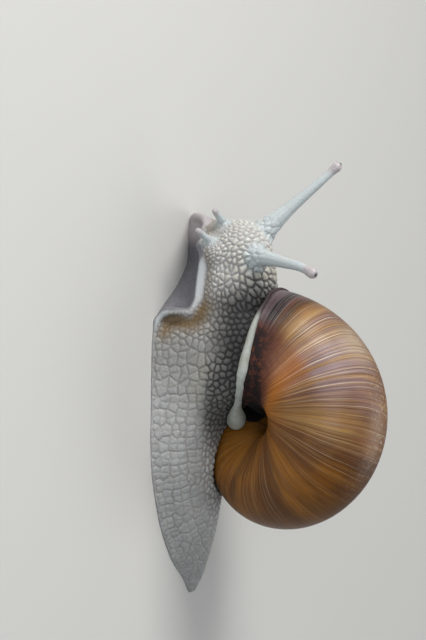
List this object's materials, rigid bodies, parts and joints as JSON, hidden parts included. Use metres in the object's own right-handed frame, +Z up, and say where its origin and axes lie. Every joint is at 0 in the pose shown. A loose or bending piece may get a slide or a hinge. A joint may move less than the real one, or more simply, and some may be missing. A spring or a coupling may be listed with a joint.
{
  "type": "snail",
  "caption": "Life-size still model of a Roman snail crawling, front of the foot lifted, head turned to its left, feelers out.",
  "frame": {"origin": "On the floor, under the middle of the animal's bounding box.", "axes": "+X is where the snail crawls, +Y its left, +Z up."},
  "size_m": [0.0766, 0.034, 0.0384],
  "materials": {
    "shell": "glossy amber-brown shell with radiating growth streaks",
    "lip": "chalky off-white shell lip",
    "skin": "moist cream-grey skin with brown-grey furrows",
    "eye": "small dark eye spot"
  },
  "bodies": {
    "root": {"shell_body_whorl": "shell", "shell_spire": "shell", "shell_lip": "lip", "mantle_collar": "skin", "foot_tail": "skin", "foot_middle": "skin", "foot_front": "skin", "neck": "skin", "head": "skin", "upper_tentacle_left": "skin", "upper_tentacle_right": "skin", "lower_tentacle_left": "skin", "lower_tentacle_right": "skin", "eye_left": "eye", "eye_right": "eye"}
  },
  "joints": []
}
